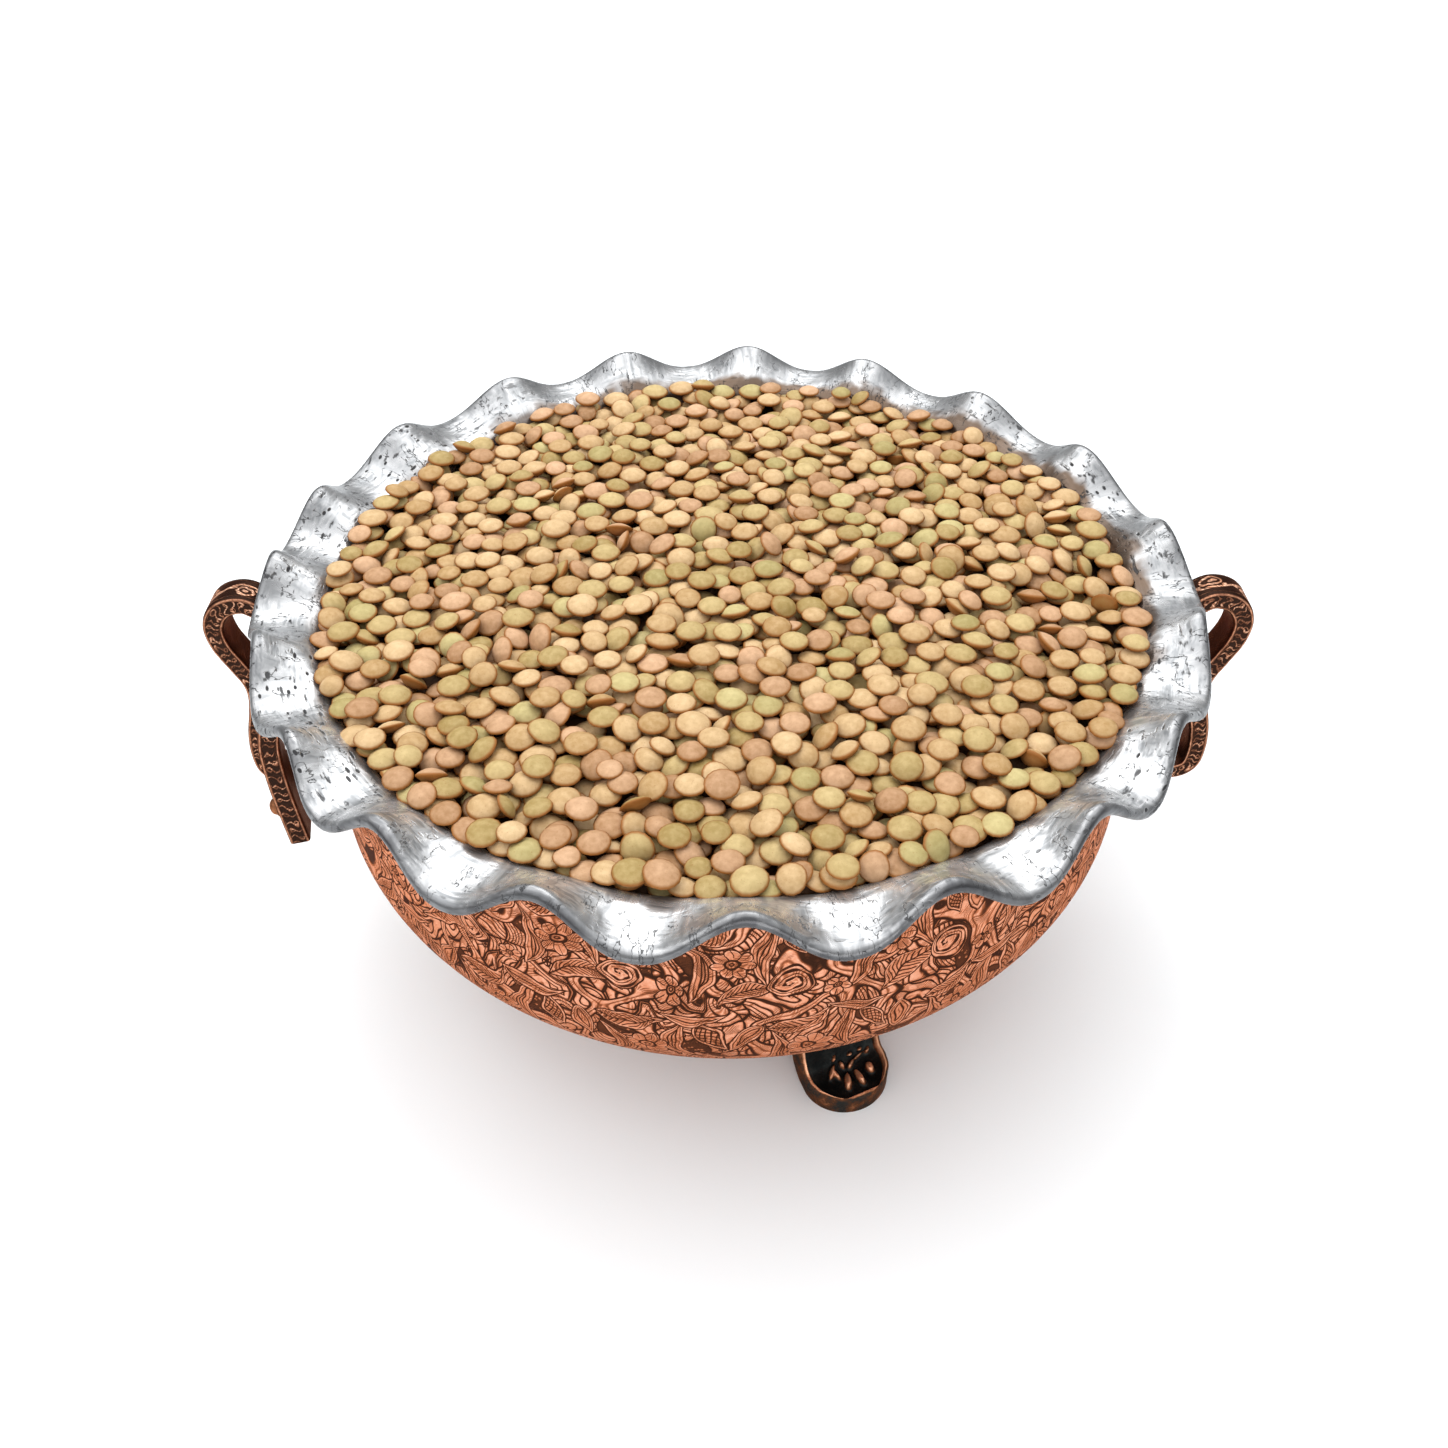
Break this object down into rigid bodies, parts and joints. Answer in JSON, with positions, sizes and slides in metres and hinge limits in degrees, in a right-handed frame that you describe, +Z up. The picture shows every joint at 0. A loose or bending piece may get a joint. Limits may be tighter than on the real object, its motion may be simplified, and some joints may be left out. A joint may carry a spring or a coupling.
{
  "type": "bowl of dry lentils",
  "caption": "Round-bottomed engraved copper bowl on paw feet, with a ruffled tinned rim and strap handles, filled level with dry lentils.",
  "frame": {"origin": "on the floor under the middle of the bowl", "axes": "+X from the left handle to the right handle, +Z up, -Y towards the side that is seen in front"},
  "size_m": [0.2431, 0.2112, 0.1138],
  "materials": {
    "copper": "engraved and darkened in the recesses, tinned inside",
    "lentil_skin": "matt dry seed skin"
  },
  "bodies": {
    "root": {"bowl": "copper", "handle_left": "copper", "handle_right": "copper", "tail_left": "copper", "foot_1": "copper", "foot_2": "copper", "foot_3": "copper", "lentils": "lentil_skin"}
  },
  "joints": []
}
